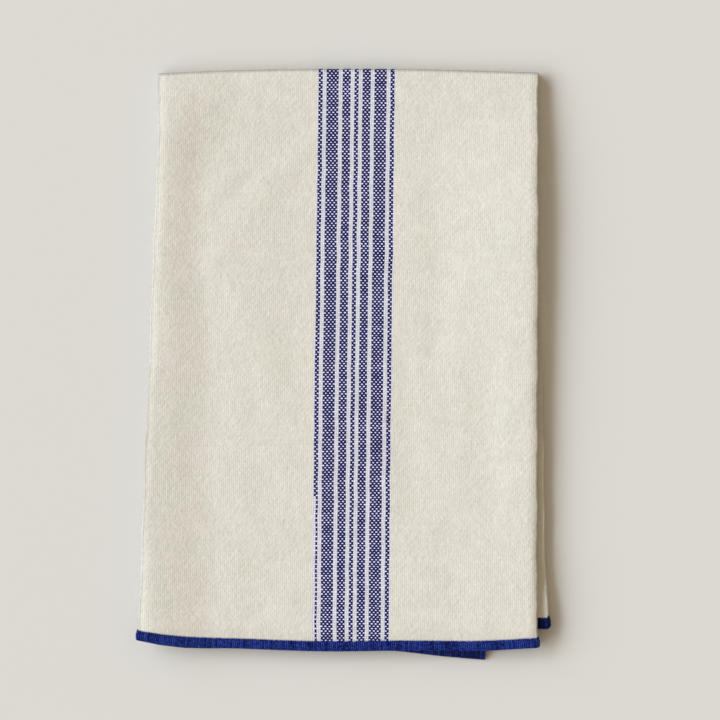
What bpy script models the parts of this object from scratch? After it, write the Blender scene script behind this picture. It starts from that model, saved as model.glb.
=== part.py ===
"""A striped kitchen towel, folded in thirds across its width and then in half along its length.

Metres, +Z up, +X across the folded towel, +Y from its open end to the top fold. The origin is under the
middle of the folded towel, on the surface that it lies on.

Across its width the cloth is three panels: the centre one, which shows, and a left and a right one turned
under it. The three lie in the front half and again in the back half, so the folded towel is six layers,
counted here as levels from 0, the back half's centre panel, up to 5, the front half's centre panel.
Its two short ends are overcast with thick thread, which wraps the cut edge as a flat channel.
"""

from math import pi

import bpy
import numpy as np

# Cloth and edging
CLOTH_THICK = 0.0010
LAYER_GAP = 0.0004
EDGING_WIDTH = 0.0057
EDGING_THICK = 0.0017
EDGING_WALL = 0.0003
PINCHED_SHARE = 0.5  # the share of its thickness that the cloth keeps inside the edging
EDGING_CLEAR = 0.0003
FLAT_WIDTH = 0.7125
RIGHT_PANEL = 0.2382
HALF_LENGTH = 0.3630  # of each half, from its cut edge to the start of the top fold's roll
FRONT_END_HEIGHT = -0.1821
BACK_END_HEIGHT = -0.1669

LAYER_PITCH = CLOTH_THICK + LAYER_GAP
EDGING_PITCH = EDGING_THICK + EDGING_CLEAR
CLOTH_INSET = EDGING_CLEAR + EDGING_WALL  # from the edging's nose to the cut edge of the cloth
CENTRE, LEFT, RIGHT = 5, 4, 3  # levels of the front half's panels; the back half's are 5 less these
TOP_LEVELS = 5

# Side folds of each half: height up the towel, left fold, right fold
FRONT_SIDES = np.array([
    (-0.182, -0.1301, 0.1229),
    (-0.100, -0.1275, 0.1229),
    (-0.020, -0.1242, 0.1230),
    (0.060, -0.1213, 0.1235),
    (0.140, -0.1180, 0.1232),
    (0.186, -0.1178, 0.1236),
])
BACK_SIDES = np.array([
    (-0.165, -0.1100, 0.1301),
    (-0.118, -0.1110, 0.1279),
    (-0.055, -0.1125, 0.1272),
    (0.025, -0.1145, 0.1249),
    (0.100, -0.1165, 0.1228),
    (0.186, -0.1178, 0.1236),
])

# Outermost line of the edging under each panel: place across the towel, height up the towel
FRONT_CENTRE_END = np.array([
    (-0.1305, -0.1754),
    (-0.1126, -0.1782),
    (-0.0592, -0.1811),
    (-0.0084, -0.1827),
    (0.0360, -0.1822),
    (0.0913, -0.1822),
    (0.1234, -0.1804),
])
FRONT_LEFT_END = np.array([
    (-0.1305, -0.1756),
    (-0.1126, -0.1792),
    (-0.0592, -0.1806),
    (0.0000, -0.1812),
    (0.0297, -0.1822),
    (0.0678, -0.1863),
    (0.0903, -0.1879),
])
FRONT_RIGHT_END = np.array([
    (-0.1149, -0.1765),
    (0.0000, -0.1805),
    (0.0600, -0.1800),
    (0.1234, -0.1804),
])
BACK_CENTRE_END = np.array([
    (-0.1100, -0.1660),
    (0.0000, -0.1675),
    (0.1301, -0.1679),
])
BACK_LEFT_END = np.array([
    (-0.1100, -0.1660),
    (0.0000, -0.1630),
    (0.1242, -0.1610),
])
BACK_RIGHT_END = np.array([
    (-0.1081, -0.1630),
    (0.0000, -0.1655),
    (0.1301, -0.1679),
])

# Crown of the top fold: place across the towel, height up the towel
TOP_CROWN = np.array([
    (-0.1178, 0.1848),
    (-0.0900, 0.1862),
    (-0.0170, 0.1878),
    (0.0330, 0.1878),
    (0.1233, 0.1855),
])

# Soft swellings of the top layer: place across, height up, half width, half length, rise
SWELLINGS = np.array([
    (-0.072, 0.100, 0.024, 0.090, 0.0006),
    (-0.108, 0.060, 0.012, 0.080, 0.0004),
    (0.080, 0.020, 0.030, 0.120, 0.0005),
    (-0.020, -0.060, 0.050, 0.070, 0.0005),
    (0.060, -0.130, 0.045, 0.040, 0.0006),
    (-0.090, -0.120, 0.030, 0.045, 0.0005),
])

# Heights up the towel between which the layers spread for the edging, ride over it and droop past it
BACK_SPREAD = (-0.132, -0.152)
FRONT_RISE = (-0.102, -0.150)
FRONT_SPREAD = (-0.152, -0.1690)
FRONT_DROOP = (-0.1675, -0.1870)
DROOP_DEPTH = 0.0040
END_FLARE = 0.0013  # how far the side folds open out where the edging goes round them
FIRM_MARGIN = 0.0040  # how far the left margin overhangs the right panel before it sags
SIDE_SAG = 0.25  # its drop for each metre of overhang past that
SAG_FADE = (0.185, 0.140)
SWELL_FADE = (0.182, 0.150)

# Grid of the cloth
NEAR_FOLD = np.array([0.0025, 0.0055, 0.0090, 0.0130, 0.0180])  # stations beside the left fold
NEAR_END = np.array([0.0, 2.5, 5.6, 8.0, 11.5, 15.0, 19.0, 24.0, 30.0, 37.0, 46.0, 58.0, 74.0]) / 1000
CENTRE_STATIONS = 10
PANEL_STATIONS = 4
SMALL_ROLL_STEPS = 6
LARGE_ROLL_STEPS = 8
TOP_ROLL_STEPS = 9
FRONT_ROWS = 7
BACK_ROWS = 6

CLOTH_COLOUR = (0.73, 0.69, 0.60, 1.0)
EDGING_COLOUR = (0.030, 0.045, 0.290, 1.0)


def smooth(start, end, at):
    """0 before start, 1 past end, and an S-shaped cubic between; end may be lower than start."""
    share = np.clip((at - start) / (end - start), 0.0, 1.0)
    return share * share * (3.0 - 2.0 * share)


def read_table(table, at, column=1):
    """A smooth cubic through one column of a table, whose first column is the place along it."""
    places, values = table[:, 0], table[:, column]
    slopes = np.gradient(values, places)
    at = np.clip(at, places[0], places[-1])
    row = np.clip(np.searchsorted(places, at) - 1, 0, len(places) - 2)
    step = places[row + 1] - places[row]
    share = (at - places[row]) / step
    rise = values[row + 1] - values[row]
    bend = (1.0 - share) * (slopes[row] * step - rise) - share * (slopes[row + 1] * step - rise)
    return values[row] + share * rise + share * (1.0 - share) * bend


def make_columns():
    """The stations across the flat cloth, from the left panel's free edge to the right panel's.

    Each has its panel or roll, a distance from the axis of the fold that it is measured from, the share
    that it takes of the rest of its panel, its level, and how far round the fold the cloth has turned.
    """
    rest = np.arange(1, PANEL_STATIONS + 1) / PANEL_STATIONS
    middle = np.arange(1, CENTRE_STATIONS + 1) / CENTRE_STATIONS
    small = np.arange(1, SMALL_ROLL_STEPS) * pi / SMALL_ROLL_STEPS
    large = np.arange(0, LARGE_ROLL_STEPS + 1) * pi / LARGE_ROLL_STEPS
    last = NEAR_FOLD[-1]
    columns = [("left", last, share, LEFT, pi) for share in rest[::-1]]
    columns += [("left", near, 0.0, LEFT, pi) for near in NEAR_FOLD[::-1]]
    columns += [("left", 0.0, 0.0, LEFT, pi)]
    columns += [("left_roll", 0.0, 0.0, 0.0, turn) for turn in small[::-1]]
    columns += [("centre", 0.0, 0.0, CENTRE, 0.0)]
    columns += [("centre", near, 0.0, CENTRE, 0.0) for near in NEAR_FOLD]
    columns += [("centre", last, share, CENTRE, 0.0) for share in middle[:-1]]
    columns += [("right_roll", 0.0, 0.0, 0.0, turn) for turn in large]
    columns += [("right", 0.0, share, RIGHT, pi) for share in rest]
    return columns


COLUMNS = make_columns()
KIND = np.array([column[0] for column in COLUMNS])
FIXED, SHARE, LEVEL, TURN = np.array([column[1:] for column in COLUMNS], dtype=float).T
SMALL_LEVELS = (CENTRE - LEFT) / 2.0
LARGE_LEVELS = (CENTRE - RIGHT) / 2.0
LEVEL = np.where(KIND == "left_roll", CENTRE - SMALL_LEVELS + SMALL_LEVELS * np.cos(TURN), LEVEL)
LEVEL = np.where(KIND == "right_roll", CENTRE - LARGE_LEVELS + LARGE_LEVELS * np.cos(TURN), LEVEL)


def layer_pitch(opened):
    """Spacing of the layers, from that of bare cloth to that of the edging where they have opened."""
    return LAYER_PITCH + opened * (EDGING_PITCH - LAYER_PITCH)


def place_across(sides, height, opened):
    """Where each column lies across the towel, for rows at these heights, opened this much for the edging.

    A panel's column is measured along it from the axis of its fold, and a roll's goes round that axis.
    """
    pitch = layer_pitch(opened)
    flare = END_FLARE * opened
    left = read_table(sides, height, 1) - flare
    right = read_table(sides, height, 2) + flare
    small, large = SMALL_LEVELS * pitch, LARGE_LEVELS * pitch
    left_axis = left + CLOTH_THICK / 2 + small
    right_axis = right - CLOTH_THICK / 2 - large
    left_panel = FLAT_WIDTH - RIGHT_PANEL - (right - left)
    return np.select(
        [KIND == "left", KIND == "left_roll", KIND == "centre", KIND == "right_roll"],
        [
            left_axis + FIXED + SHARE * (left_panel - FIXED),
            left_axis - small * np.sin(TURN),
            left_axis + FIXED + SHARE * (right_axis - left_axis - FIXED),
            right_axis + large * np.sin(TURN),
        ],
        right_axis - SHARE * RIGHT_PANEL,
    )


def end_line(across, centre_end, left_end, right_end):
    """Height of the cut edge of the cloth in each column."""
    by_centre = read_table(centre_end, across)
    by_left = read_table(left_end, across)
    by_right = read_table(right_end, across)
    turned = (1.0 - np.cos(TURN)) / 2.0
    by_left = by_centre + turned * (by_left - by_centre)
    by_right = by_centre + turned * (by_right - by_centre)
    is_left = np.isin(KIND, ("left", "left_roll"))
    is_right = np.isin(KIND, ("right", "right_roll"))
    return CLOTH_INSET + np.where(is_left, by_left, np.where(is_right, by_right, by_centre))


def roll_line(across):
    """Height of the axis of the top fold: half the stack below its crown."""
    return read_table(TOP_CROWN, across) - TOP_LEVELS / 2.0 * LAYER_PITCH - CLOTH_THICK / 2


def swelling(across, height):
    """Sum of the soft swellings, each a round bump that falls to nothing at twice its half size."""
    total = np.zeros_like(across)
    for place, up, half_width, half_length, rise in SWELLINGS:
        away = ((across - place) / half_width) ** 2 + ((height - up) / half_length) ** 2
        total += rise * np.clip(1.0 - away / 4.0, 0.0, 1.0) ** 2
    return total


def front_half(distance):
    """Points of the front half's middle surface, in rows at these distances from its cut edge."""
    share = (np.atleast_1d(distance) / HALF_LENGTH)[:, None]
    row_height = FRONT_END_HEIGHT + share * HALF_LENGTH
    opened = smooth(*FRONT_SPREAD, row_height)
    across = place_across(FRONT_SIDES, row_height, opened)
    end = end_line(across, FRONT_CENTRE_END, FRONT_LEFT_END, FRONT_RIGHT_END)
    height = end + share * (roll_line(across) - end)
    pitch = layer_pitch(smooth(*FRONT_SPREAD, height))
    over_edging = (TOP_LEVELS - RIGHT) * EDGING_PITCH + EDGING_THICK + EDGING_CLEAR + CLOTH_THICK / 2
    over_cloth = RIGHT * LAYER_PITCH + CLOTH_THICK / 2
    lowest = over_cloth + smooth(*FRONT_RISE, height) * (over_edging - over_cloth)
    lowest -= DROOP_DEPTH * smooth(*FRONT_DROOP, height)
    overhang = across[:, -1:] - across.min(axis=1, keepdims=True)
    outside = smooth(0.0, 1.0, (across[:, -1:] - across) / overhang)
    sag = SIDE_SAG * np.maximum(overhang - FIRM_MARGIN, 0.0) * outside * smooth(*SAG_FADE, height)
    swell = swelling(across, height) * smooth(*SWELL_FADE, height) * (LEVEL == CENTRE)
    up = lowest + (LEVEL - RIGHT) * pitch - sag + swell
    return np.stack([across, height, up], axis=-1)


def back_half(distance):
    """Points of the back half's middle surface, in rows at these distances from its cut edge."""
    share = (np.atleast_1d(distance) / HALF_LENGTH)[:, None]
    row_height = BACK_END_HEIGHT + share * HALF_LENGTH
    opened = smooth(*BACK_SPREAD, row_height)
    across = place_across(BACK_SIDES, row_height, opened)
    end = end_line(across, BACK_CENTRE_END, BACK_LEFT_END, BACK_RIGHT_END)
    height = end + share * (roll_line(across) - end)
    opened = smooth(*BACK_SPREAD, height)
    lowest = CLOTH_THICK / 2 + opened * (EDGING_THICK - CLOTH_THICK) / 2
    up = lowest + (TOP_LEVELS - LEVEL) * layer_pitch(opened)
    return np.stack([across, height, up], axis=-1)


def top_roll():
    """Points of the half turn round the top fold, in rows from the front half to the back half."""
    turn = (np.arange(1, TOP_ROLL_STEPS) * pi / TOP_ROLL_STEPS)[:, None]
    crown_height = FRONT_SIDES[-1:, :1]
    across = place_across(FRONT_SIDES, crown_height, np.zeros((1, 1)))
    radius = (LEVEL - TOP_LEVELS / 2.0) * LAYER_PITCH
    height = roll_line(across) + radius * np.sin(turn)
    up = CLOTH_THICK / 2 + TOP_LEVELS / 2.0 * LAYER_PITCH + radius * np.cos(turn)
    return np.stack([across + 0.0 * turn, height, up], axis=-1)


def end_rows(count):
    """Distances from the cut edge: close rows over the edging and the rise, then even ones to the top."""
    return np.concatenate([NEAR_END, np.linspace(NEAR_END[-1], HALF_LENGTH, count + 1)[1:]])


def sheet_object(name, points, collection, material):
    """A flat grid with a vertex for each point, moved onto the points."""
    rows, columns = points.shape[:2]
    bpy.ops.mesh.primitive_grid_add(x_subdivisions=columns - 1, y_subdivisions=rows - 1, size=1.0)
    sheet = bpy.context.object
    sheet.name = name
    sheet.data.name = name
    sheet.data.vertices.foreach_set("co", points.astype(np.float32).ravel())
    sheet.data.update()
    sheet.data.shade_smooth()
    sheet.data.materials.append(material)
    for owner in list(sheet.users_collection):
        owner.objects.unlink(sheet)
    collection.objects.link(sheet)
    return sheet


def thicken(sheet, thickness):
    """Gives an open sheet its thickness, half to each side."""
    solid = sheet.modifiers.new("Thickness", "SOLIDIFY")
    solid.thickness = thickness
    solid.offset = 0.0
    solid.use_even_offset = True
    return solid


def make_cloth(collection, material):
    """The folded cloth: one sheet from the front end, over the top fold, to the back end."""
    front = front_half(end_rows(FRONT_ROWS))
    back = back_half(end_rows(BACK_ROWS))[::-1]
    points = np.concatenate([front, top_roll(), back])
    cloth = sheet_object("cloth", points, collection, material)
    full = cloth.vertex_groups.new(name="full_thickness")
    inside_edging = int(np.sum(NEAR_END < EDGING_WIDTH))
    rows, columns = points.shape[:2]
    free = np.arange(rows * columns).reshape(rows, columns)[inside_edging:rows - inside_edging]
    full.add(free.ravel().tolist(), 1.0, "REPLACE")
    solid = thicken(cloth, CLOTH_THICK)
    solid.vertex_group = full.name
    solid.thickness_vertex_group = PINCHED_SHARE
    return cloth


def make_edging(name, half, collection, material):
    """The overcast edging of one end: a flat channel that follows the folded edge and wraps it.

    Its section runs from the open side of the upper flange, round the nose, to that of the lower one,
    as distances from the cut edge of the cloth and offsets from the cloth's middle surface.
    """
    flange = (EDGING_THICK - EDGING_WALL) / 2
    nose = -EDGING_CLEAR - EDGING_WALL / 2
    reach = EDGING_WIDTH - CLOTH_INSET
    distance = np.array([reach, reach / 2, 0.0, nose, nose, 0.0, reach / 2, reach])
    offset = np.array([flange, flange, flange, flange / 2, -flange / 2, -flange, -flange, -flange])
    points = half(distance)
    step = CLOTH_INSET
    along = half(distance + step) - half(distance - step)
    normal = np.cross(np.gradient(points, axis=1), along)
    normal /= np.linalg.norm(normal, axis=-1, keepdims=True)
    edging = sheet_object(name, points + normal * offset[:, None, None], collection, material)
    thicken(edging, EDGING_WALL)
    return edging


def principled(name, colour, roughness):
    """A plain Principled material."""
    material = bpy.data.materials.new(name)
    material.use_nodes = True
    shader = material.node_tree.nodes["Principled BSDF"]
    shader.inputs["Base Color"].default_value = colour
    shader.inputs["Roughness"].default_value = roughness
    shader.inputs["Metallic"].default_value = 0.0
    return material


def main():
    for old in list(bpy.data.objects):
        bpy.data.objects.remove(old, do_unlink=True)
    towel = bpy.data.collections.new("kitchen_towel")
    bpy.context.scene.collection.children.link(towel)
    woven = principled("woven_cotton", CLOTH_COLOUR, 0.95)
    thread = principled("overcast_thread", EDGING_COLOUR, 0.70)
    make_cloth(towel, woven)
    make_edging("edging_front", front_half, towel, thread)
    make_edging("edging_back", back_half, towel, thread)


main()
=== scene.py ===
"""A cream kitchen towel with indigo stripes and blue overcast ends, folded in thirds and then in half.

Metres, +Z up, +X across the folded towel, +Y from its open end to the top fold. Six layers lie on each
other, counted here as levels from 0, the back half's centre panel, up to 5, the front half's centre panel.
"""

from math import pi, radians, sqrt

import bpy
import numpy as np
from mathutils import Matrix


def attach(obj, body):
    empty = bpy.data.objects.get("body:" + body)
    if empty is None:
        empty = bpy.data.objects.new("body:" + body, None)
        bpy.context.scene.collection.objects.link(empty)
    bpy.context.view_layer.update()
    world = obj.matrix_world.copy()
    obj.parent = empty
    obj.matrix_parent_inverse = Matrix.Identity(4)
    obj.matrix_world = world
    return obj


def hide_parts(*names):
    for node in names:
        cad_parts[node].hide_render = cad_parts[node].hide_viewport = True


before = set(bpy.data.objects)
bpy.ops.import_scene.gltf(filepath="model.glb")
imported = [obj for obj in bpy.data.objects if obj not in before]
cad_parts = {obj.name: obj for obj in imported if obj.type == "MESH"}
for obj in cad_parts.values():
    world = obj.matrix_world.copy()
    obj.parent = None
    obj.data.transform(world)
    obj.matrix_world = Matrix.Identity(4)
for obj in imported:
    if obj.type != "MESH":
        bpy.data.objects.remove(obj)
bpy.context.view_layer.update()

# Woven cloth: one rectangle of plain-woven cotton, 712 by 729 mm, natural cream with a band of indigo
# warp ends down its middle. It is folded in thirds across, the left panel under the centre one and the
# right panel under both, and then in half along, with the fold at the top.

CLOTH_THICK = 0.0010
LAYER_PITCH = 0.0014
FLAT_WIDTH = 0.7125
RIGHT_PANEL = 0.2395
HALF_LENGTH = 0.3630  # of each half, from its cut edge to the start of the top fold's roll
FRONT_END_HEIGHT = -0.1821
BACK_END_HEIGHT = -0.1669
CENTRE, LEFT, RIGHT = 5, 4, 3  # levels of the front half's panels; the back half's are 5 less these
TOP_LEVELS = 5

# The overcast ends are thicker than the cloth, so the layers spread where they lie on each other
EDGING_WIDTH = 0.0057
EDGING_THICK = 0.0017
EDGING_PITCH = 0.0020
EDGING_CLEAR = 0.0003
FOLD_THICK = 0.0006  # of the cloth where it is pressed at its side folds
CLOTH_INSET = 0.0006  # from the outermost line of the edging to the cut edge of the cloth
PINCHED_SHARE = 0.5  # of its thickness, that the cloth keeps inside the edging and at its folds

# Side folds of each half: height up the towel, left fold, right fold
FRONT_SIDES = np.array([
    (-0.182, -0.1301, 0.1233),
    (-0.100, -0.1275, 0.1234),
    (-0.020, -0.1242, 0.1236),
    (0.060, -0.1213, 0.1240),
    (0.140, -0.1180, 0.1238),
    (0.186, -0.1178, 0.1240),
])
BACK_SIDES = np.array([
    (-0.165, -0.1100, 0.1306),
    (-0.118, -0.1110, 0.1286),
    (-0.055, -0.1125, 0.1278),
    (0.025, -0.1145, 0.1256),
    (0.100, -0.1165, 0.1230),
    (0.186, -0.1178, 0.1240),
])

# Outermost line of the edging under each panel: place across the towel, height up the towel
FRONT_CENTRE_END = np.array([
    (-0.1305, -0.1754),
    (-0.1126, -0.1782),
    (-0.0592, -0.1811),
    (-0.0084, -0.1827),
    (0.0360, -0.1822),
    (0.0913, -0.1822),
    (0.1234, -0.1804),
])
FRONT_LEFT_END = np.array([
    (-0.1305, -0.1756),
    (-0.1126, -0.1792),
    (-0.0592, -0.1806),
    (0.0000, -0.1812),
    (0.0297, -0.1822),
    (0.0678, -0.1866),
    (0.0903, -0.1884),
])
FRONT_RIGHT_END = np.array([
    (-0.1149, -0.1765),
    (0.0000, -0.1805),
    (0.0600, -0.1800),
    (0.1234, -0.1804),
])
BACK_CENTRE_END = np.array([
    (-0.1100, -0.1660),
    (0.0000, -0.1675),
    (0.1301, -0.1687),
])
BACK_LEFT_END = np.array([
    (-0.1100, -0.1660),
    (0.0000, -0.1630),
    (0.1242, -0.1610),
])
BACK_RIGHT_END = np.array([
    (-0.1081, -0.1630),
    (0.0000, -0.1655),
    (0.1301, -0.1684),
])

# Crown of the top fold: place across the towel, height up the towel
TOP_CROWN = np.array([
    (-0.1178, 0.1848),
    (-0.0900, 0.1862),
    (-0.0170, 0.1878),
    (0.0330, 0.1878),
    (0.1233, 0.1855),
])

# Middle line of the striped band on each half: height up the towel, place across
FRONT_BAND = np.array([
    (-0.182, 0.0046),
    (-0.137, 0.0049),
    (0.168, 0.0084),
    (0.186, 0.0086),
])
BACK_BAND = np.array([
    (-0.165, 0.0116),
    (0.010, 0.0100),
    (0.186, 0.0086),
])

# Soft swellings of the top layer: place across, height up, half width, half length, rise
SWELLINGS = np.array([
    (-0.072, 0.100, 0.024, 0.090, 0.0006),
    (-0.108, 0.060, 0.012, 0.080, 0.0004),
    (0.080, 0.020, 0.030, 0.120, 0.0005),
    (-0.020, -0.060, 0.050, 0.070, 0.0005),
    (0.060, -0.130, 0.045, 0.040, 0.0006),
    (-0.090, -0.120, 0.030, 0.045, 0.0005),
])

# The stack is springy at its side folds and lies lower between them. Where it falls away inside the left
# fold: height up the towel, middle of the slope across, its width, and its fall
LEFT_FALL = np.array([
    (-0.181, -0.1030, 0.044, 0.0020),
    (-0.150, -0.1030, 0.046, 0.0024),
    (-0.120, -0.1040, 0.050, 0.0030),
    (-0.070, -0.1060, 0.046, 0.0028),
    (-0.030, -0.1035, 0.042, 0.0024),
    (0.010, -0.1015, 0.038, 0.0022),
    (0.050, -0.1045, 0.032, 0.0021),
    (0.100, -0.1030, 0.030, 0.0019),
    (0.125, -0.1010, 0.032, 0.0023),
    (0.145, -0.0945, 0.048, 0.0031),
    (0.165, -0.0890, 0.048, 0.0026),
    (0.182, -0.0890, 0.048, 0.0006),
])
# Where it rises towards the right fold: height up the towel, start of the slope, its end, and its rise
RIGHT_RISE = np.array([
    (-0.181, 0.060, 0.145, 0.0008),
    (-0.150, 0.060, 0.145, 0.0014),
    (-0.100, 0.060, 0.145, 0.0021),
    (0.000, 0.055, 0.145, 0.0030),
    (0.140, 0.055, 0.145, 0.0030),
    (0.182, 0.060, 0.145, 0.0002),
])
MIDDLE_SINK = 0.0008

# Creases of the front face, from one point (across, up) to another: half width, and depth or, below 0, rise
CREASES = np.array([
    (-0.124, -0.010, -0.130, -0.100, 0.0060, -0.0003),
    (-0.060, 0.040, -0.045, -0.010, 0.0100, -0.0002),
    (-0.062, -0.168, -0.053, -0.158, 0.0050, 0.0002),
    (-0.054, 0.124, -0.078, 0.098, 0.0045, 0.0002),
    (0.106, -0.030, 0.116, -0.018, 0.0040, -0.0002),
    (-0.030, 0.130, -0.080, 0.070, 0.0070, -0.0002),
    (0.090, -0.006, 0.092, -0.086, 0.0110, 0.0004),
    (0.040, -0.010, 0.046, -0.080, 0.0100, 0.0003),
    (0.066, 0.070, 0.060, 0.020, 0.0090, 0.0002),
])

# Heights up the towel between which the layers spread for the edging, ride over it and droop past it
BACK_SPREAD = (-0.132, -0.152)
FRONT_RISE = (-0.102, -0.150)
FRONT_SPREAD = (-0.152, -0.1690)
FRONT_DROOP = (-0.1675, -0.1870)
DROOP_DEPTH = 0.0040
LEFT_FOLD_DEPTH = 0.0003  # across, of the turn of the cloth's middle surface round each side fold
RIGHT_FOLD_DEPTH = 0.0010
FOLD_SQUARENESS = 0.6
TOP_FOLD_SHARE = 0.6  # depth up the towel of the turns round the top fold, against their height
END_FLARE = 0.0003  # how far the side folds open out towards the ends
EDGE_BULGE = 0.0009  # and then where the thick edging goes round them
EDGE_BULGE_END = (0.0058, 0.0042)  # distances from the cut edge between which it swells out
FRONT_ROUND = 0.0008  # how far the cut edge draws back as it goes round a side fold
BACK_ROUND = 0.0018
CORNER_DIP = 0.0034  # drop of the left panel where it shows past the centre panel's edge
CORNER_DIP_AT = (-0.0026, 0.0055)  # distances past that edge between which it drops
STRIP_LIFT = 0.0011  # rise of the back half's right fold where it shows past the front half's
STRIP_LIFT_AT = (-0.0010, 0.0045)  # distances past that fold between which it rises
SWELL_FADE = (0.182, 0.150)  # heights up the towel between which the swellings begin

STACK_HEIGHT = 0.0080  # of six layers of bare cloth
LEFT_PRESS = (0.0040, 0.00005)  # width of the strip beside the fold where the stack is pressed, and how far
RIGHT_PRESS = (0.0040, 0.00025)
RIPPLE_SIZES = np.array([0.011, 0.014, 0.018, 0.023, 0.030, 0.041])
RIPPLES_EACH = 5
RIPPLE_SLOPE = 0.0060
CREASE_FADE = 1.8  # how far a crease fades out past its ends, against its half width
FOLD_WANDER = 0.00022

# Grid of the cloth: close stations beside its folds and its ends, and the numbers of the others
NEAR_FOLD = np.array([0.0006, 0.0014, 0.0024, 0.0036, 0.0050, 0.0066, 0.0084, 0.0104, 0.0126, 0.0150])
NEAR_END = np.concatenate([np.arange(0.0, 12.0), np.arange(12.0, 40.0, 1.75)]) / 1000
CENTRE_STATIONS = 92
PANEL_STATIONS = 14
SMALL_ROLL_STEPS = 12
LARGE_ROLL_STEPS = 14
TOP_ROLL_STEPS = 14
FRONT_ROWS = 128
BACK_ROWS = 44


def smooth(start, end, at):
    """0 before start, 1 past end, and an S-shaped cubic between; end may be lower than start."""
    share = np.clip((at - start) / (end - start), 0.0, 1.0)
    return share * share * (3.0 - 2.0 * share)


def read_table(table, at, column=1):
    """A smooth cubic through one column of a table, whose first column is the place along it."""
    places, values = table[:, 0], table[:, column]
    slopes = np.gradient(values, places)
    at = np.clip(at, places[0], places[-1])
    row = np.clip(np.searchsorted(places, at) - 1, 0, len(places) - 2)
    step = places[row + 1] - places[row]
    share = (at - places[row]) / step
    rise = values[row + 1] - values[row]
    bend = (1.0 - share) * (slopes[row] * step - rise) - share * (slopes[row + 1] * step - rise)
    return values[row] + share * rise + share * (1.0 - share) * bend


def fold_section(turn):
    """How far out and how far up a fold's surface lies part way round: a half circle made squarer."""
    out = np.abs(np.sin(turn)) ** FOLD_SQUARENESS
    up = np.sign(np.cos(turn)) * np.abs(np.cos(turn)) ** FOLD_SQUARENESS
    return out, up


def make_columns():
    """The stations across the flat cloth, from the left panel's free edge to the right panel's.

    Each has its panel or roll, a distance from the axis of the fold that it is measured from, the share
    that it takes of the rest of its panel, its level, and how far round the fold the cloth has turned.
    """
    rest = np.arange(1, PANEL_STATIONS + 1) / PANEL_STATIONS
    middle = np.arange(1, CENTRE_STATIONS + 1) / CENTRE_STATIONS
    small = np.arange(1, SMALL_ROLL_STEPS) * pi / SMALL_ROLL_STEPS
    large = np.arange(0, LARGE_ROLL_STEPS + 1) * pi / LARGE_ROLL_STEPS
    last = NEAR_FOLD[-1]
    columns = [("left", last, share, LEFT, pi) for share in rest[::-1]]
    columns += [("left", near, 0.0, LEFT, pi) for near in NEAR_FOLD[::-2]]
    columns += [("left", 0.0, 0.0, LEFT, pi)]
    columns += [("left_roll", 0.0, 0.0, 0.0, turn) for turn in small[::-1]]
    columns += [("centre", 0.0, 0.0, CENTRE, 0.0)]
    columns += [("centre", near, 0.0, CENTRE, 0.0) for near in NEAR_FOLD]
    columns += [("centre", last, share, CENTRE, 0.0) for share in middle[:-1]]
    columns += [("right_roll", 0.0, 0.0, 0.0, turn) for turn in large]
    columns += [("right", 0.0, share, RIGHT, pi) for share in rest]
    return columns


COLUMNS = make_columns()
KIND = np.array([column[0] for column in COLUMNS])
FIXED, SHARE, LEVEL, TURN = np.array([column[1:] for column in COLUMNS], dtype=float).T
TURN_OUT, TURN_UP = fold_section(TURN)
TOP_TURN = np.arange(1, TOP_ROLL_STEPS) * pi / TOP_ROLL_STEPS  # of each row round the top fold
LEVEL = np.where(KIND == "left_roll", CENTRE - (CENTRE - LEFT) / 2.0 * (1.0 - TURN_UP), LEVEL)
LEVEL = np.where(KIND == "right_roll", CENTRE - (CENTRE - RIGHT) / 2.0 * (1.0 - TURN_UP), LEVEL)


def layer_pitch(opened):
    """Spacing of the layers, from that of bare cloth to that of the edging where they have opened."""
    return LAYER_PITCH + opened * (EDGING_PITCH - LAYER_PITCH)


def wander(height, phase):
    """The small unevenness of a fold line: three sines of unlike lengths up the towel."""
    return FOLD_WANDER * (
        np.sin(2 * pi * height / 0.047 + phase)
        + 0.6 * np.sin(2 * pi * height / 0.021 + 2.1 * phase)
        + 0.4 * np.sin(2 * pi * height / 0.0093 + 3.7 * phase)
    )


def place_across(sides, height, opened, distance):
    """Where each column lies across the towel, for rows at these heights, opened this much for the edging.

    A panel's column is measured along it from the axis of its fold, and a roll's goes round that axis. The
    distance is each row's from the cut edge. The left panel's free edge stays where it is as its fold
    bulges.
    """
    flare = END_FLARE * opened + EDGE_BULGE * smooth(*EDGE_BULGE_END, distance)
    left = read_table(sides, height, 1) - flare + wander(height, 1.0)
    right = read_table(sides, height, 2) + flare + wander(height, 2.0)
    left_axis = left + FOLD_THICK / 2 + LEFT_FOLD_DEPTH
    right_axis = right - FOLD_THICK / 2 - RIGHT_FOLD_DEPTH
    # A flare makes the centre panel wider by two of it, and moves the left panel's fold out by one
    left_panel = FLAT_WIDTH - RIGHT_PANEL - (right - left) + 3.0 * flare
    return np.select(
        [KIND == "left", KIND == "left_roll", KIND == "centre", KIND == "right_roll"],
        [
            left_axis + FIXED + SHARE * (left_panel - FIXED),
            left_axis - LEFT_FOLD_DEPTH * TURN_OUT,
            left_axis + FIXED + SHARE * (right_axis - left_axis - FIXED),
            right_axis + RIGHT_FOLD_DEPTH * TURN_OUT,
        ],
        right_axis - SHARE * RIGHT_PANEL,
    )


def end_line(across, centre_end, left_end, right_end, corner_round):
    """Height of the cut edge of the cloth in each column, drawn back where it goes round a side fold."""
    by_centre = read_table(centre_end, across)
    by_left = read_table(left_end, across)
    by_right = read_table(right_end, across)
    turned = (1.0 - np.cos(TURN)) / 2.0
    by_left = by_centre + turned * (by_left - by_centre)
    by_right = by_centre + turned * (by_right - by_centre)
    is_left = np.isin(KIND, ("left", "left_roll"))
    is_right = np.isin(KIND, ("right", "right_roll"))
    outermost = np.where(is_left, by_left, np.where(is_right, by_right, by_centre))
    return outermost + CLOTH_INSET + corner_round * np.sin(TURN)


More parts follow.
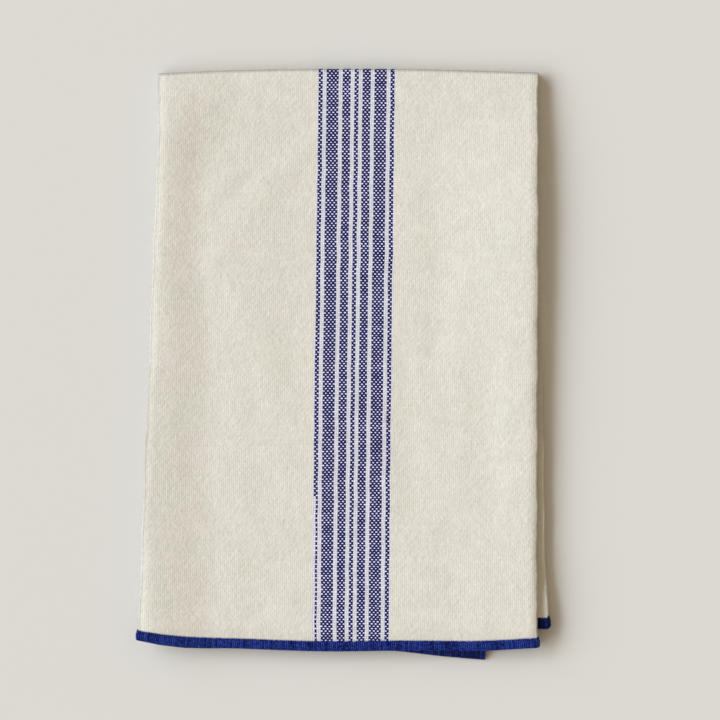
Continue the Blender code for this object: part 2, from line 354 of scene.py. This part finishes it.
def roll_line(across):
    """Height of the axis of the top fold below its crown."""
    return read_table(TOP_CROWN, across) - TOP_LEVELS / 2.0 * LAYER_PITCH * TOP_FOLD_SHARE - FOLD_THICK / 2


def swelling(across, height):
    """Sum of the soft swellings, each a round bump that falls to nothing at twice its half size."""
    total = np.zeros_like(across)
    for place, up, half_width, half_length, rise in SWELLINGS:
        away = ((across - place) / half_width) ** 2 + ((height - up) / half_length) ** 2
        total += rise * np.clip(1.0 - away / 4.0, 0.0, 1.0) ** 2
    return total


def relief(across, height):
    """How far the face of the folded stack lies above its even height, in metres.

    It stands above its sunken middle by a smooth step near each side fold, and is pressed down again in
    the last few millimetres. The creases are troughs or ridges with a bell-shaped section, which fade out
    past both ends. Ripples are plane waves in fixed random directions, each as high as its length allows
    for one slope.
    """
    middle, width, fall = (read_table(LEFT_FALL, height, column) for column in (1, 2, 3))
    total = fall * (1.0 - smooth(middle - width / 2, middle + width / 2, across)) - MIDDLE_SINK
    start, end, rise = (read_table(RIGHT_RISE, height, column) for column in (1, 2, 3))
    total += rise * smooth(start, end, across)
    for x0, y0, x1, y1, half_width, depth in CREASES:
        length = sqrt((x1 - x0) ** 2 + (y1 - y0) ** 2)
        along = ((across - x0) * (x1 - x0) + (height - y0) * (y1 - y0)) / length
        aside = ((across - x0) * (y1 - y0) - (height - y0) * (x1 - x0)) / length
        past = np.maximum(np.maximum(-along, along - length), 0.0)
        total -= depth * np.exp(-(aside / half_width) ** 2 - (past / (CREASE_FADE * half_width)) ** 2)
    random = np.random.default_rng(7)
    slope = RIPPLE_SLOPE / sqrt(len(RIPPLE_SIZES) * RIPPLES_EACH)
    for size in np.repeat(RIPPLE_SIZES, RIPPLES_EACH):
        heading, phase = random.uniform(0.0, 2 * pi, 2)
        wave = across * np.cos(heading) + height * np.sin(heading)
        total += slope * size / pi * np.sin(2 * pi * wave / size + phase)
    left = read_table(FRONT_SIDES, height, 1)
    right = read_table(FRONT_SIDES, height, 2)
    for (width, press), inside in ((LEFT_PRESS, across - left), (RIGHT_PRESS, right - across)):
        total -= press * (1.0 - smooth(0.0, width, inside))
    return total


def settle(points):
    """Raises and lowers the whole stack to its relief, each layer by as much as its height allows."""
    points[..., 2] *= 1.0 + relief(points[..., 0], points[..., 1]) / STACK_HEIGHT
    return points


def front_half(distance):
    """Points of the front half's middle surface, in rows at these distances from its cut edge."""
    share = (np.atleast_1d(distance) / HALF_LENGTH)[:, None]
    row_height = FRONT_END_HEIGHT + share * HALF_LENGTH
    opened = smooth(*FRONT_SPREAD, row_height)
    across = place_across(FRONT_SIDES, row_height, opened, share * HALF_LENGTH)
    end = end_line(across, FRONT_CENTRE_END, FRONT_LEFT_END, FRONT_RIGHT_END, FRONT_ROUND)
    height = end + share * (roll_line(across) - end)
    pitch = layer_pitch(smooth(*FRONT_SPREAD, height))
    over_edging = (TOP_LEVELS - RIGHT) * EDGING_PITCH + EDGING_THICK + EDGING_CLEAR + CLOTH_THICK / 2
    over_cloth = RIGHT * LAYER_PITCH + CLOTH_THICK / 2
    lowest = over_cloth + smooth(*FRONT_RISE, height) * (over_edging - over_cloth)
    lowest -= DROOP_DEPTH * smooth(*FRONT_DROOP, height)
    shown = read_table(FRONT_CENTRE_END, across) - height
    dip = CORNER_DIP * smooth(*CORNER_DIP_AT, shown) * (KIND == "left")
    swell = swelling(across, height) * smooth(*SWELL_FADE, height) * (LEVEL == CENTRE)
    up = lowest + (LEVEL - RIGHT) * pitch - dip + swell
    return settle(np.stack([across, height, up], axis=-1))


def back_half(distance):
    """Points of the back half's middle surface, in rows at these distances from its cut edge."""
    share = (np.atleast_1d(distance) / HALF_LENGTH)[:, None]
    row_height = BACK_END_HEIGHT + share * HALF_LENGTH
    opened = smooth(*BACK_SPREAD, row_height)
    across = place_across(BACK_SIDES, row_height, opened, share * HALF_LENGTH)
    end = end_line(across, BACK_CENTRE_END, BACK_LEFT_END, BACK_RIGHT_END, BACK_ROUND)
    height = end + share * (roll_line(across) - end)
    opened = smooth(*BACK_SPREAD, height)
    lowest = CLOTH_THICK / 2 + opened * (EDGING_THICK - CLOTH_THICK) / 2
    lift = STRIP_LIFT * smooth(*STRIP_LIFT_AT, across - read_table(FRONT_SIDES, height, 2))
    up = lowest + (TOP_LEVELS - LEVEL) * layer_pitch(opened) + lift
    return settle(np.stack([across, height, up], axis=-1))


def top_roll():
    """Points of the half turn round the top fold, in rows from the front half to the back half."""
    out, rise = fold_section(TOP_TURN[:, None])
    crown_height = FRONT_SIDES[-1:, :1]
    across = place_across(FRONT_SIDES, crown_height, np.zeros((1, 1)), HALF_LENGTH)
    radius = (LEVEL - TOP_LEVELS / 2.0) * LAYER_PITCH
    height = roll_line(across) + radius * TOP_FOLD_SHARE * out
    up = CLOTH_THICK / 2 + TOP_LEVELS / 2.0 * LAYER_PITCH + radius * rise
    return settle(np.stack(np.broadcast_arrays(across, height, up), axis=-1))


def end_rows(count):
    """Distances from the cut edge: close rows over the edging and the rise, then even ones to the top."""
    return np.concatenate([NEAR_END, np.linspace(NEAR_END[-1], HALF_LENGTH, count + 1)[1:]])


def step_lengths(points, axis):
    """Running length along one axis of a grid of points, from 0 at its first row or column."""
    steps = np.linalg.norm(np.diff(points, axis=axis), axis=-1)
    start = np.zeros_like(np.take(steps, [0], axis=axis))
    return np.concatenate([start, np.cumsum(steps, axis=axis)], axis=axis)


def yarn_places(points, front_rows, back_rows):
    """Where each point lies in the flat cloth: across from the middle of the band, and up from the crown.

    The first is the length along its row from the band's line, which is found on the centre panel. The
    second is the length along its column from the middle row of the top fold, below 0 on the front half.
    """
    across = step_lengths(points, 1)
    up = step_lengths(points, 0)
    crown = front_rows + (len(points) - front_rows - back_rows) // 2
    up = up - up[crown]
    is_centre = KIND == "centre"
    for row in range(len(points)):
        table = FRONT_BAND if row < crown else BACK_BAND
        here = points[row, is_centre]
        band = read_table(table, np.mean(here[:, 1]))
        across[row] -= np.interp(band, here[:, 0], across[row, is_centre])
    return np.stack([across, up], axis=-1)


def grid_mesh(name, points, places):
    """A mesh of one open grid of points, with a UV map of these places in metres."""
    rows, columns = points.shape[:2]
    index = np.arange(rows * columns).reshape(rows, columns)
    faces = np.stack([index[:-1, :-1], index[:-1, 1:], index[1:, 1:], index[1:, :-1]], axis=-1)
    mesh = bpy.data.meshes.new(name)
    mesh.from_pydata(points.reshape(-1, 3).tolist(), [], faces.reshape(-1, 4).tolist())
    corners = np.zeros(len(mesh.loops), dtype=np.int32)
    mesh.loops.foreach_get("vertex_index", corners)
    layer = mesh.uv_layers.new(name="yarns")
    layer.data.foreach_set("uv", places.reshape(-1, 2)[corners].astype(np.float32).ravel())
    mesh.shade_smooth()
    return mesh


def add_values(mesh, name, values):
    """Stores one number for each of a mesh's points."""
    layer = mesh.attributes.new(name, "FLOAT", "POINT")
    layer.data.foreach_set("value", values.astype(np.float32).ravel())


def add_piece(name, mesh, material):
    """A finished piece's object, at the origin, with its material."""
    piece = bpy.data.objects.new(name, mesh)
    bpy.context.scene.collection.objects.link(piece)
    mesh.materials.append(material)
    return piece


class Signal:
    """One output of a shader node. Arithmetic on it adds Math nodes, and node() adds any other kind."""

    def __init__(self, tree, socket):
        self.tree = tree
        self.socket = socket

    def node(self, kind, settings, values, output=0):
        """Adds a node of this kind: its settings first, then the values or links of its sockets."""
        made = self.tree.nodes.new(kind)
        for name, setting in settings.items():
            setattr(made, name, setting)
        for place, value in values.items():
            if isinstance(value, Signal):
                self.tree.links.new(value.socket, made.inputs[place])
            else:
                made.inputs[place].default_value = value
        return Signal(self.tree, made.outputs[output])

    def math(self, operation, *values):
        return self.node("ShaderNodeMath", {"operation": operation}, dict(enumerate(values)))

    def __add__(self, other):
        return self.math("ADD", self, other)

    def __sub__(self, other):
        return self.math("SUBTRACT", self, other)

    def __rsub__(self, other):
        return self.math("SUBTRACT", other, self)

    def __mul__(self, other):
        return self.math("MULTIPLY", self, other)

    def __truediv__(self, other):
        return self.math("DIVIDE", self, other)

    def __gt__(self, other):
        return self.math("GREATER_THAN", self, other)

    def __lt__(self, other):
        return self.math("LESS_THAN", self, other)

    __radd__ = __add__
    __rmul__ = __mul__

    def clipped(self):
        return self.node("ShaderNodeClamp", {}, {0: self})

    def mixed(self, low, high):
        """The colour low where this is 0, and high where it is 1."""
        settings = {"data_type": "RGBA", "clamp_factor": True}
        return self.node("ShaderNodeMix", settings, {0: self, 6: low, 7: high}, output=2)

    def times(self, shade):
        """This colour with each of its channels multiplied by a value."""
        grey = self.node("ShaderNodeCombineXYZ", {}, {0: shade, 1: shade, 2: shade})
        return self.node("ShaderNodeVectorMath", {"operation": "MULTIPLY"}, {0: self, 1: grey})

    def stored(self, name):
        """The value that the mesh stores under this name."""
        return self.node("ShaderNodeAttribute", {"attribute_name": name}, {}, output=2)

    def noise(self, x, y, z=0.0, detail=2.0):
        """Smooth noise from 0 to 1 at a place given in noise cells."""
        place = self.node("ShaderNodeCombineXYZ", {}, {0: x, 1: y, 2: z})
        return self.node("ShaderNodeTexNoise", {}, {"Vector": place, "Scale": 1.0, "Detail": detail})


def start_material(name, uv_map):
    """A new material: its Principled shader, and the two coordinates of a UV map as signals."""
    material = bpy.data.materials.new(name)
    material.use_nodes = True
    tree = material.node_tree
    places = tree.nodes.new("ShaderNodeUVMap")
    places.uv_map = uv_map
    place = Signal(tree, places.outputs[0])
    across = place.node("ShaderNodeSeparateXYZ", {}, {0: place}, output=0)
    up = place.node("ShaderNodeSeparateXYZ", {}, {0: place}, output=1)
    return material, tree.nodes["Principled BSDF"], across, up


def finish_material(shader, colour, roughness, height, depth):
    """Links a colour, a roughness and a surface height from 0 to 1, of this depth in metres."""
    bump = colour.node("ShaderNodeBump", {}, {"Height": height, "Distance": depth, "Strength": 1.0})
    for socket, signal in (("Base Color", colour), ("Roughness", roughness), ("Normal", bump)):
        colour.tree.links.new(signal.socket, shader.inputs[socket])


END_PITCH = 0.00127  # of the warp, 20 to the inch
PICK_PITCH = 0.001465  # of the weft, 17 to the inch
HALF_BAND = 19  # ends on each side of the band's middle
INDIGO_ENDS = ((0, 1), (3, 7), (9, 15), (17, 19))  # runs of indigo ends, counted from the middle
FADE_OUT_UP = -0.274  # below this the band's outermost left end is cream

# Colours of the yarns, the first two each from a darker to a lighter shade
CREAM = (0.785, 0.757, 0.657, 1.0), (0.812, 0.763, 0.678, 1.0)
INDIGO = (0.002, 0.002, 0.024, 1.0), (0.018, 0.018, 0.155, 1.0)
BAND_CREAM = (0.715, 0.705, 0.755, 1.0)  # of the cream yarns in the band
BAND_PICK = (0.800, 0.785, 1.000, 1.0)  # of the weft where it passes over indigo ends
UNDER_EDGING = (0.005, 0.015, 0.150, 1.0)
DARKENING = 0.50  # at the cloth's turns and free edges, which the low lamp would whiten
CRINKLE_DEPTH = 0.00030


def make_weave():
    """Plain weave: each end passes over and under the picks in turn, and shows where it is the higher.

    A yarn's height is 1 less the square of the distance from its middle, plus or minus a product of two
    sines that are 0 between the yarns, plus noise along it. Its colour has a painted highlight where it
    stands up and painted shade in the hollows between the yarns. The surface is mostly the crinkle of
    washed cotton: soft noise, two crossing sets of slanting lines, and a crepe of fine upright ones.
    """
    material, shader, across, up = start_material("woven_cotton", "yarns")
    sway = across.noise(across * 16.0, up * 70.0, 3.0)
    bow = across.noise(across * 60.0, up * 18.0, 9.0)
    ends = across / END_PITCH + (sway - 0.5) * 0.9
    picks = up / PICK_PITCH + (bow - 0.5) * 1.2
    end_number = ends.math("FLOOR", ends)
    pick_number = picks.math("FLOOR", picks)
    beside_end = ends - end_number - 0.5
    beside_pick = picks - pick_number - 0.5
    over = ends.math("SINE", ends * pi) * picks.math("SINE", picks * pi)

    end_body = across.noise(end_number * 3.7, up * 95.0, 1.0)
    pick_body = across.noise(across * 80.0, pick_number * 3.3, 5.0)
    warp = 1.0 - beside_end * beside_end * 4.0 + over + (end_body - 0.5) * 1.3
    weft = 1.0 - beside_pick * beside_pick * 4.0 - over + (pick_body - 0.5) * 1.3

    from_middle = ends.math("ABSOLUTE", ends)
    indigo = from_middle < INDIGO_ENDS[0][1]
    for first, last in INDIGO_ENDS[1:]:
        indigo = indigo + (from_middle > first) * (from_middle < last)
    faded = (ends < 1 - HALF_BAND) * (up < FADE_OUT_UP)
    indigo = indigo * (1.0 - faded)
    in_band = (HALF_BAND + 1.2 - from_middle).clipped()

    mottle = across.noise(across * 30.0, up * 30.0, 2.0, detail=4.0)
    cream = ((mottle - 0.35) * 3.3).clipped().mixed(*CREAM)
    ground = in_band.mixed(cream, BAND_CREAM)
    dye = across.noise(end_number * 5.1, up * 260.0, 7.0)
    shown = ((warp - weft) * 2.2 + 0.5 + indigo * 2.4).clipped()
    end_colour = indigo.mixed(ground, dye.mixed(*INDIGO))
    pick_colour = indigo.mixed(ground, BAND_PICK)
    colour = shown.mixed(pick_colour, end_colour)

    higher = warp.math("MAXIMUM", warp, weft)
    raised = ((higher - 0.55) * 0.8).clipped()
    patch = across.noise(across * 120.0, up * 90.0, 11.0)
    # Painted shade: the colour is darker at the cloth's turns and free edges
    tone = 0.888 - across.stored("dark") * DARKENING
    # Painted highlight on the raised yarns and painted shade in the hollows between them, more in the band
    tone = tone + raised * (patch * 0.14 + in_band * 0.27) - in_band * 0.10
    tone = tone + (end_body - 0.5) * 0.19 + (pick_body - 0.5) * 0.12
    colour = across.stored("sewn").mixed(colour.times(tone), UNDER_EDGING)

    fibre = across.noise(across * 2600.0, up * 2600.0, 4.0)
    crinkle = across.noise(across * 330.0, up * 300.0, 6.0)
    slanting = across.noise((across + up) * 340.0, (across - up) * 65.0, 8.0)
    slanting = slanting + across.noise((across - up) * 340.0, (across + up) * 65.0, 12.0)
    crepe = across.noise(across * 900.0, up * 360.0, 10.0)
    height = higher * 0.08 + fibre * 0.05 + crinkle * 0.30 + slanting * 0.50 + crepe * 0.42
    finish_material(shader, colour, 0.96 - raised * 0.08, height, CRINKLE_DEPTH)
    shader.inputs["Specular IOR Level"].default_value = 0.2
    shader.inputs["Sheen Weight"].default_value = 0.05
    shader.inputs["Sheen Roughness"].default_value = 0.5
    return material


front = front_half(end_rows(FRONT_ROWS))
back = back_half(end_rows(BACK_ROWS))[::-1]
cloth_points = np.concatenate([front, top_roll(), back])
cloth_places = yarn_places(cloth_points, len(front), len(back))
cloth = add_piece("woven_cloth", grid_mesh("woven_cloth", cloth_points, cloth_places), make_weave())

# The cloth is thinner inside the edging, beside its side folds and round the top fold
THIN_REACH = 0.0050  # how far beside a side fold
row_sewn = np.zeros(len(cloth_points))
in_edging = 1.0 - smooth(EDGING_WIDTH - CLOTH_INSET, EDGING_WIDTH + 2 * CLOTH_INSET, NEAR_END)
row_sewn[:len(NEAR_END)] = in_edging
row_sewn[-len(NEAR_END):] = in_edging[::-1]
row_out = np.zeros(len(cloth_points))
row_out[len(front):-len(back)] = fold_section(TOP_TURN)[0]
side_thin = (1.0 - smooth(0.0, THIN_REACH, FIXED)) * (KIND != "right")
thin = np.maximum(np.maximum(row_sewn, row_out)[:, None], side_thin)
thickness = cloth.vertex_groups.new(name="full_thickness")
for point, share in enumerate(thin.ravel().tolist()):
    thickness.add([point], 1.0 - share, "REPLACE")

# Painted shade: the cloth's colour is darker round its turns, the top fold's and the side folds', the left
# ones most, a little way on beside those, and at its free edges, where the low lamp would whiten it
DARK_LEFT, DARK_RIGHT = 1.25, 0.5
DARK_BESIDE, DARK_REACH = 0.45, 0.0014
DARK_FREE_EDGE = 0.9
side_dark = TURN_OUT * np.where(np.isin(KIND, ("left", "left_roll")), DARK_LEFT, DARK_RIGHT)
beside_left = np.isin(KIND, ("left", "centre")) & (SHARE == 0.0)
side_dark = np.maximum(side_dark, beside_left * DARK_BESIDE * np.clip(1.0 - FIXED / DARK_REACH, 0.0, 1.0))
side_dark[[0, -1]] = DARK_FREE_EDGE
add_values(cloth.data, "dark", np.maximum(row_out[:, None], side_dark))
add_values(cloth.data, "sewn", np.broadcast_to(row_sewn[:, None], cloth_points.shape[:2]))

solid = cloth.modifiers.new("Thickness", "SOLIDIFY")
solid.thickness = CLOTH_THICK
solid.offset = 0.0
solid.use_even_offset = True
solid.vertex_group = thickness.name
solid.thickness_vertex_group = PINCHED_SHARE

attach(cloth, "root")
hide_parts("cloth")

# Overcast edging of the front and the back end: thick royal blue cotton thread, sewn close over the cut
# edge. Each wrap goes in through the cloth on one face, round the edge and in again on the other.

WRAP_PITCH = 0.0012
WRAP_HALF_WIDTH = 0.00065
WRAP_HALF_THICK = 0.00042
FRONT_REACH = 0.0061  # of a wrap onto the cloth, from its cut edge
BACK_REACH = 0.0069
WRAP_SIDES = 6
NOSE_STEPS = 4
PLACE_JITTER, LEAN_JITTER = 0.05, 0.06  # of the wraps, against their pitch
LEAN = 0.25  # of the wraps to and fro along the edge, against their pitch
LEAN_WAVE = 0.019  # length of one lean to and fro, over 2 pi
REACH_JITTER = 0.00011


def wrap_section(reach):
    """The line of a wrap's middle, as distances from the cut edge, offsets from the cloth, and widths.

    It is a flat of this reach on each face and a half circle round the edge. The ends are narrower and
    dip into the cloth.
    """
    offset = EDGING_THICK / 2 - WRAP_HALF_THICK
    turn = np.linspace(0.0, pi, NOSE_STEPS + 1)
    middle = offset + WRAP_HALF_THICK - CLOTH_INSET
    distance = middle - offset * np.sin(turn)
    flat = np.array([reach, reach - 0.0006, reach / 2])
    distance = np.concatenate([flat, distance, flat[::-1]])
    side = np.array([0.80, 0.98, 1.0])
    offset = offset * np.concatenate([side, np.cos(turn), -side[::-1]])
    size = np.concatenate([[0.62, 1.0, 1.0], np.ones(NOSE_STEPS + 1), [1.0, 1.0, 0.62]])
    return distance, offset, size


def make_wraps(name, half, reach, seed, material):
    """Wraps of thread side by side along one end, as one mesh of narrow closed tubes.

    The middle surface, its normal and its length along the edge are worked out in the cloth's columns
    and read from them at each wrap, which is a ring of points carried along the wrap's section.
    """
    distance, offset, size = wrap_section(reach)
    surface = half(distance)
    step = CLOTH_INSET
    normal = np.cross(np.gradient(surface, axis=1), half(distance + step) - half(distance - step))
    normal /= np.linalg.norm(normal, axis=-1, keepdims=True)
    line = surface + normal * offset[:, None, None]
    steps = np.linalg.norm(np.diff(line, axis=1), axis=-1).max(axis=0)
    along = np.concatenate([[0.0], np.cumsum(steps)])

    random = np.random.default_rng(seed)
    count = int(along[-1] / WRAP_PITCH)
    place = (np.arange(count) + 0.5) * along[-1] / count
    place = place + random.normal(0.0, PLACE_JITTER, count) * WRAP_PITCH
    lean = LEAN * WRAP_PITCH * np.sin(place / LEAN_WAVE)
    lean = lean + random.normal(0.0, LEAN_JITTER, count) * WRAP_PITCH
    slant = (distance - distance.min()) / (distance.max() - distance.min())
    where = place[:, None] + lean[:, None] * slant[None, :]
    sections = np.arange(len(distance))

    def read(grid):
        """The grid's points at each wrap, by linear reading between the cloth's columns."""
        right = np.clip(np.searchsorted(along, where), 1, len(along) - 1)
        share = ((where - along[right - 1]) / (along[right] - along[right - 1]))[..., None]
        return grid[sections, right - 1] * (1.0 - share) + grid[sections, right] * share

    middle = read(line)
    beside = read(np.gradient(line, along, axis=1))
    beside /= np.linalg.norm(beside, axis=-1, keepdims=True)
    run = np.gradient(middle, axis=1)
    out = np.cross(beside, run)
    out /= np.linalg.norm(out, axis=-1, keepdims=True)
    run /= np.linalg.norm(run, axis=-1, keepdims=True)
    uneven = random.normal(0.0, REACH_JITTER, (count, 1, 1))
    tips = np.zeros(len(distance))
    tips[[0, 1, -2, -1]] = (1.0, 0.9, -0.9, -1.0)
    middle = middle - run * uneven * tips[None, :, None]

    angle = np.arange(WRAP_SIDES) * 2 * pi / WRAP_SIDES
    width = WRAP_HALF_WIDTH * size * random.uniform(0.92, 1.10, (count, 1))
    thick = WRAP_HALF_THICK * size * random.uniform(0.85, 1.10, (count, 1))
    ring = middle[:, :, None] + (
        beside[:, :, None] * (width[..., None] * np.cos(angle))[..., None]
        + out[:, :, None] * (thick[..., None] * np.sin(angle))[..., None]
    )

    parts = ring.shape[1]
    index = np.arange(count * parts * WRAP_SIDES).reshape(count, parts, WRAP_SIDES)
    after = np.roll(index, -1, axis=2)
    sides = np.stack([index[:, :-1], after[:, :-1], after[:, 1:], index[:, 1:]], axis=-1)
    faces = sides.reshape(-1, 4).tolist()
    faces += index[:, 0, ::-1].tolist() + index[:, -1].tolist()
    mesh = bpy.data.meshes.new(name)
    mesh.from_pydata(ring.reshape(-1, 3).tolist(), [], faces)
    lengths = step_lengths(middle, 1)
    places = np.stack(np.broadcast_arrays(angle / (2 * pi), lengths[..., None]), axis=-1)
    corners = np.zeros(len(mesh.loops), dtype=np.int32)
    mesh.loops.foreach_get("vertex_index", corners)
    layer = mesh.uv_layers.new(name="thread")
    layer.data.foreach_set("uv", places.reshape(-1, 2)[corners].astype(np.float32).ravel())
    add_values(mesh, "tone", np.repeat(random.random(count), parts * WRAP_SIDES))
    inside = np.interp(place, along, (1.0 - np.cos(TURN)) / 2.0)
    add_values(mesh, "inside", np.repeat(inside, parts * WRAP_SIDES))
    mesh.shade_smooth()
    return add_piece(name, mesh, material)


THREAD_BLUE = (0.001, 0.006, 0.090, 1.0), (0.036, 0.074, 0.420, 1.0)  # darker and lighter shade
# Painted shade on the wraps of the side panels: how much darker their colour is
INSIDE_PAINTED_SHADE = 0.42
TWIST_PITCH = 0.0016
TWIST_DEPTH = 0.00005


def make_thread():
    """Mercerised thread: each wrap a little lighter or darker, with the twist of its plies.

    The wraps on the side panels, inside the stack, have painted shade: their colour is darker than that of
    the centre panel's wraps.
    """
    material, shader, around, along = start_material("overcast_thread", "thread")
    tone = around.stored("tone")
    twist = around.math("SINE", (around + along / TWIST_PITCH) * (4 * pi))
    speck = around.noise(tone * 60.0, along * 900.0)
    blue = (tone * 0.5 + (speck - 0.5) * 2.4 + 0.12).clipped().mixed(*THREAD_BLUE)
    # Painted shade: the colour is a little darker in the grooves of each wrap's twist, and darker on the
    # side panels
    colour = blue.times((0.92 + twist * 0.08) * (1.0 - around.stored("inside") * INSIDE_PAINTED_SHADE))
    finish_material(shader, colour, 0.62 - tone * 0.08, twist * 0.5 + 0.5, TWIST_DEPTH)
    shader.inputs["Specular IOR Level"].default_value = 0.08
    return material


thread = make_thread()
front_wraps = make_wraps("front_overcasting", front_half, FRONT_REACH, 21, thread)
back_wraps = make_wraps("back_overcasting", back_half, BACK_REACH, 22, thread)
for wraps, node in ((front_wraps, "edging_front"), (back_wraps, "edging_back")):
    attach(wraps, "root")
    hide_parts(node)

# Floor, lights and camera: a plain pale floor, one wide soft lamp low on the left, an even dome of weaker
# light, and a long lens straight above.

FLOOR_HALF = 4.0
VIEW_WIDTH = 0.4572
VIEW_CENTRE = (0.01064, 0.00264)
LENS, SENSOR = 200.0, 36.0
LAMP_HEIGHT = 24.0  # degrees above the floor
LAMP_SPREAD = 33.0  # degrees across, which softens the shadows
LAMP_COLOUR = (0.900, 1.0, 1.135)
# The lamp is as wide as a window: degrees round from the left towards the top fold, and strength, of
# each third of it
LAMP_THIRDS = ((-30.0, 1.20), (5.0, 2.15), (38.0, 1.58))
DOME_COLOUR = (0.405, 0.339, 0.250, 1.0)

bpy.ops.mesh.primitive_plane_add(size=2 * FLOOR_HALF)
floor = bpy.context.object
floor.name = "floor"
plain = bpy.data.materials.new("pale_floor")
plain.use_nodes = True
plain.node_tree.nodes["Principled BSDF"].inputs["Base Color"].default_value = (0.73, 0.71, 0.665, 1.0)
plain.node_tree.nodes["Principled BSDF"].inputs["Roughness"].default_value = 0.6
floor.data.materials.append(plain)

for turn, strength in LAMP_THIRDS:
    lamp = bpy.data.lights.new("soft_lamp", "SUN")
    lamp.energy = strength
    lamp.angle = radians(LAMP_SPREAD)
    lamp.color = LAMP_COLOUR
    lamp_object = bpy.data.objects.new("soft_lamp", lamp)
    bpy.context.scene.collection.objects.link(lamp_object)
    lamp_object.rotation_euler = (0.0, radians(LAMP_HEIGHT - 90.0), radians(-turn))

dome = bpy.data.worlds.new("dome")
dome.use_nodes = True
dome.node_tree.nodes["Background"].inputs["Color"].default_value = DOME_COLOUR
dome.node_tree.nodes["Background"].inputs["Strength"].default_value = 1.0
bpy.context.scene.world = dome
bpy.context.scene.view_settings.view_transform = "Standard"

camera = bpy.data.objects.new("camera", bpy.data.cameras.new("camera"))
bpy.context.scene.collection.objects.link(camera)
camera.data.lens = LENS
camera.data.sensor_width = SENSOR
camera.location = (*VIEW_CENTRE, STACK_HEIGHT + VIEW_WIDTH * LENS / SENSOR)
bpy.context.scene.camera = camera
